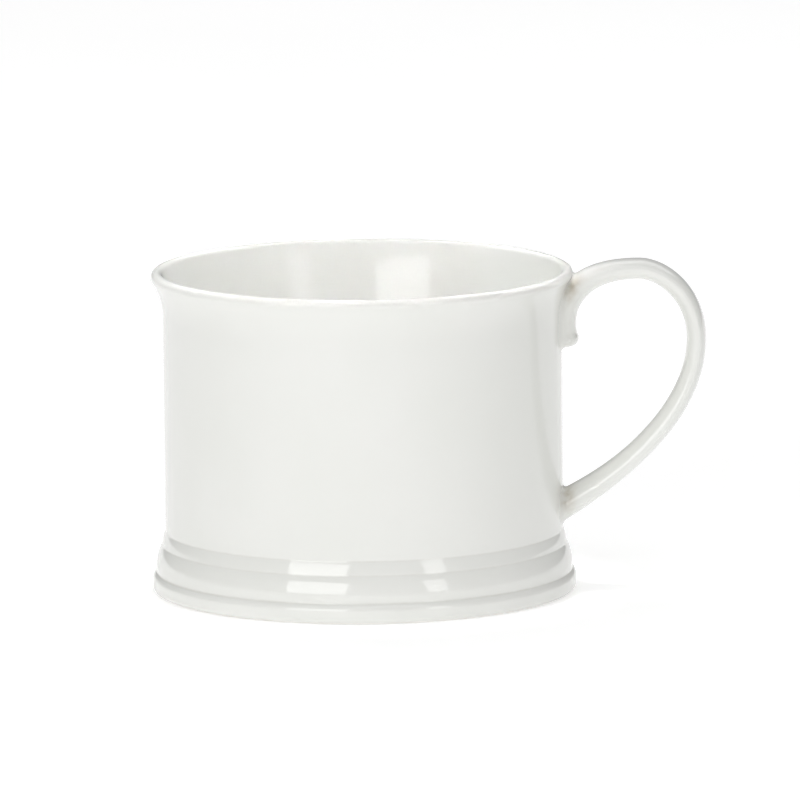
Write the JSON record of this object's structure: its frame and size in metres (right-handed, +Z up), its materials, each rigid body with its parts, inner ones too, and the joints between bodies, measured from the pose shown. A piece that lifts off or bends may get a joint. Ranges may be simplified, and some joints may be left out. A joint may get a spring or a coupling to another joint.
{
  "type": "shaving mug",
  "caption": "Wide glazed porcelain shaving mug with a flared lip, a stepped foot and a strap handle luted to its side.",
  "frame": {"origin": "centre of the foot, on the plane of the table that the mug stands on", "axes": "+Z up along the axis of the cup, +X towards the handle"},
  "size_m": [0.1383, 0.1056, 0.083],
  "materials": {
    "biscuit": "opaque fired porcelain, unglazed, matt, bare only at the foot ring",
    "slip": "opaque fired porcelain slip, matt",
    "glaze": "opaque white glaze, smooth and glossy"
  },
  "bodies": {
    "root": {"cup_body": "biscuit", "handle": "biscuit", "upper_slip_joint": "slip", "lower_slip_joint": "slip", "cup_glaze": "glaze", "underside_glaze": "glaze", "handle_glaze": "glaze"}
  },
  "joints": []
}
